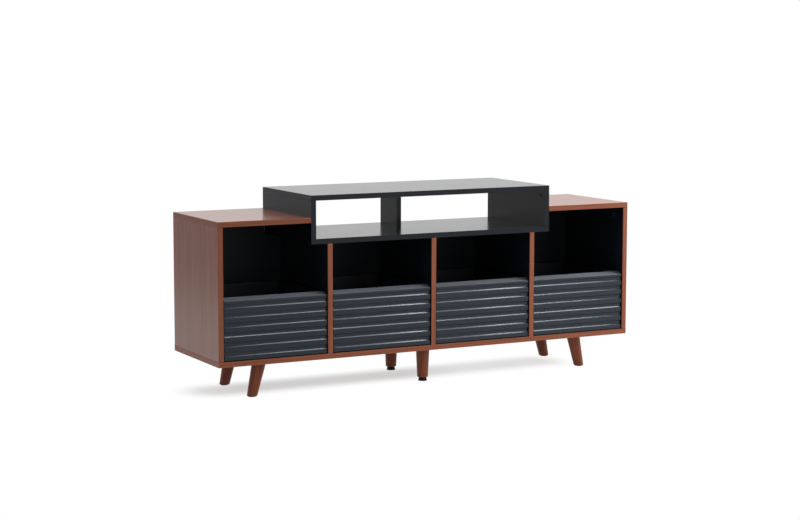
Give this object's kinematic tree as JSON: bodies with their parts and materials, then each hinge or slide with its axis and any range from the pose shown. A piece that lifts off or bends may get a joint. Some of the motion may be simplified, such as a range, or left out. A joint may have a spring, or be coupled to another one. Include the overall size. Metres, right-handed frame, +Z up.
{
  "type": "record cabinet",
  "caption": "Long low record cabinet on splayed legs: open-topped pull-out record drawers with ribbed fronts under a raised open shelf, with wood-faced end bays.",
  "frame": {"origin": "on the floor under the middle of the cabinet's width and depth", "axes": "+X along the width to the viewer's right, +Y from the front to the back, +Z up; the drawers open towards -Y"},
  "size_m": [1.6, 0.4, 0.674],
  "materials": {
    "back_board": "black hardboard",
    "bolt_steel": "zinc",
    "cap_plastic": "grey-black plastic",
    "drawer_board": "black laminate",
    "drawer_bottom": "black laminate",
    "edged_black_board": "black laminate with a walnut front edge",
    "foot_plastic": "black nylon",
    "glide_plastic": "black nylon",
    "ribbed_front": "charcoal foil over a moulded board, satin",
    "riser_board": "satin black laminate",
    "slide_steel": "bright zinc",
    "walnut_board": "satin walnut laminate with vertical or lengthwise grain, black inside",
    "walnut_leg": "satin stained wood, grain along the leg"
  },
  "bodies": {
    "case": {"bottom_board": "walnut_board", "centre_divider": "edged_black_board", "cover_caps": "cap_plastic", "front_centre_leg": "walnut_leg", "front_left_leg": "walnut_leg", "front_right_leg": "walnut_leg", "left_back": "back_board", "left_divider": "edged_black_board", "left_side": "walnut_board", "left_top": "walnut_board", "leg_bolts": "bolt_steel", "leg_glides": "glide_plastic", "outer_rails": "slide_steel", "rear_centre_leg": "walnut_leg", "rear_left_leg": "walnut_leg", "rear_right_leg": "walnut_leg", "right_back": "back_board", "right_divider": "edged_black_board", "right_side": "walnut_board", "right_top": "walnut_board", "riser_bottom": "riser_board", "riser_centre_support": "riser_board", "riser_left_side": "riser_board", "riser_right_side": "riser_board", "riser_top": "riser_board"},
    "drawer_1": {"drawer_1_back": "drawer_board", "drawer_1_bottom": "drawer_bottom", "drawer_1_front": "ribbed_front", "drawer_1_inner_rails": "slide_steel", "drawer_1_left_side": "drawer_board", "drawer_1_right_side": "drawer_board"},
    "slide_1": {"drawer_1_middle_rails": "slide_steel"},
    "drawer_2": {"drawer_2_back": "drawer_board", "drawer_2_bottom": "drawer_bottom", "drawer_2_front": "ribbed_front", "drawer_2_inner_rails": "slide_steel", "drawer_2_left_side": "drawer_board", "drawer_2_right_side": "drawer_board"},
    "slide_2": {"drawer_2_middle_rails": "slide_steel"},
    "drawer_3": {"drawer_3_back": "drawer_board", "drawer_3_bottom": "drawer_bottom", "drawer_3_front": "ribbed_front", "drawer_3_inner_rails": "slide_steel", "drawer_3_left_side": "drawer_board", "drawer_3_right_side": "drawer_board"},
    "slide_3": {"drawer_3_middle_rails": "slide_steel"},
    "drawer_4": {"drawer_4_back": "drawer_board", "drawer_4_bottom": "drawer_bottom", "drawer_4_front": "ribbed_front", "drawer_4_inner_rails": "slide_steel", "drawer_4_left_side": "drawer_board", "drawer_4_right_side": "drawer_board"},
    "slide_4": {"drawer_4_middle_rails": "slide_steel"},
    "front_foot": {"front_levelling_foot": "foot_plastic"},
    "rear_foot": {"rear_levelling_foot": "foot_plastic"}
  },
  "joints": [
    {"name": "drawer_1_slide", "type": "slide", "parent": "case", "child": "drawer_1", "axis": [0, -1, 0], "range_m": [0, 0.35]},
    {"name": "drawer_2_slide", "type": "slide", "parent": "case", "child": "drawer_2", "axis": [0, -1, 0], "range_m": [0, 0.35]},
    {"name": "drawer_3_slide", "type": "slide", "parent": "case", "child": "drawer_3", "axis": [0, -1, 0], "range_m": [0, 0.35]},
    {"name": "drawer_4_slide", "type": "slide", "parent": "case", "child": "drawer_4", "axis": [0, -1, 0], "range_m": [0, 0.35]},
    {"name": "slide_1_middle", "type": "slide", "parent": "case", "child": "slide_1", "axis": [0, -1, 0], "range_m": [0, 0.175]},
    {"name": "slide_2_middle", "type": "slide", "parent": "case", "child": "slide_2", "axis": [0, -1, 0], "range_m": [0, 0.175]},
    {"name": "slide_3_middle", "type": "slide", "parent": "case", "child": "slide_3", "axis": [0, -1, 0], "range_m": [0, 0.175]},
    {"name": "slide_4_middle", "type": "slide", "parent": "case", "child": "slide_4", "axis": [0, -1, 0], "range_m": [0, 0.175]},
    {"name": "front_foot_screw", "type": "slide", "parent": "case", "child": "front_foot", "axis": [0, 0, -1], "range_m": [0, 0.01]},
    {"name": "rear_foot_screw", "type": "slide", "parent": "case", "child": "rear_foot", "axis": [0, 0, -1], "range_m": [0, 0.01]}
  ],
  "couplings": [
    {"joint": "slide_1_middle", "follows": "drawer_1_slide", "ratio": 0.5},
    {"joint": "slide_2_middle", "follows": "drawer_2_slide", "ratio": 0.5},
    {"joint": "slide_3_middle", "follows": "drawer_3_slide", "ratio": 0.5},
    {"joint": "slide_4_middle", "follows": "drawer_4_slide", "ratio": 0.5}
  ]
}
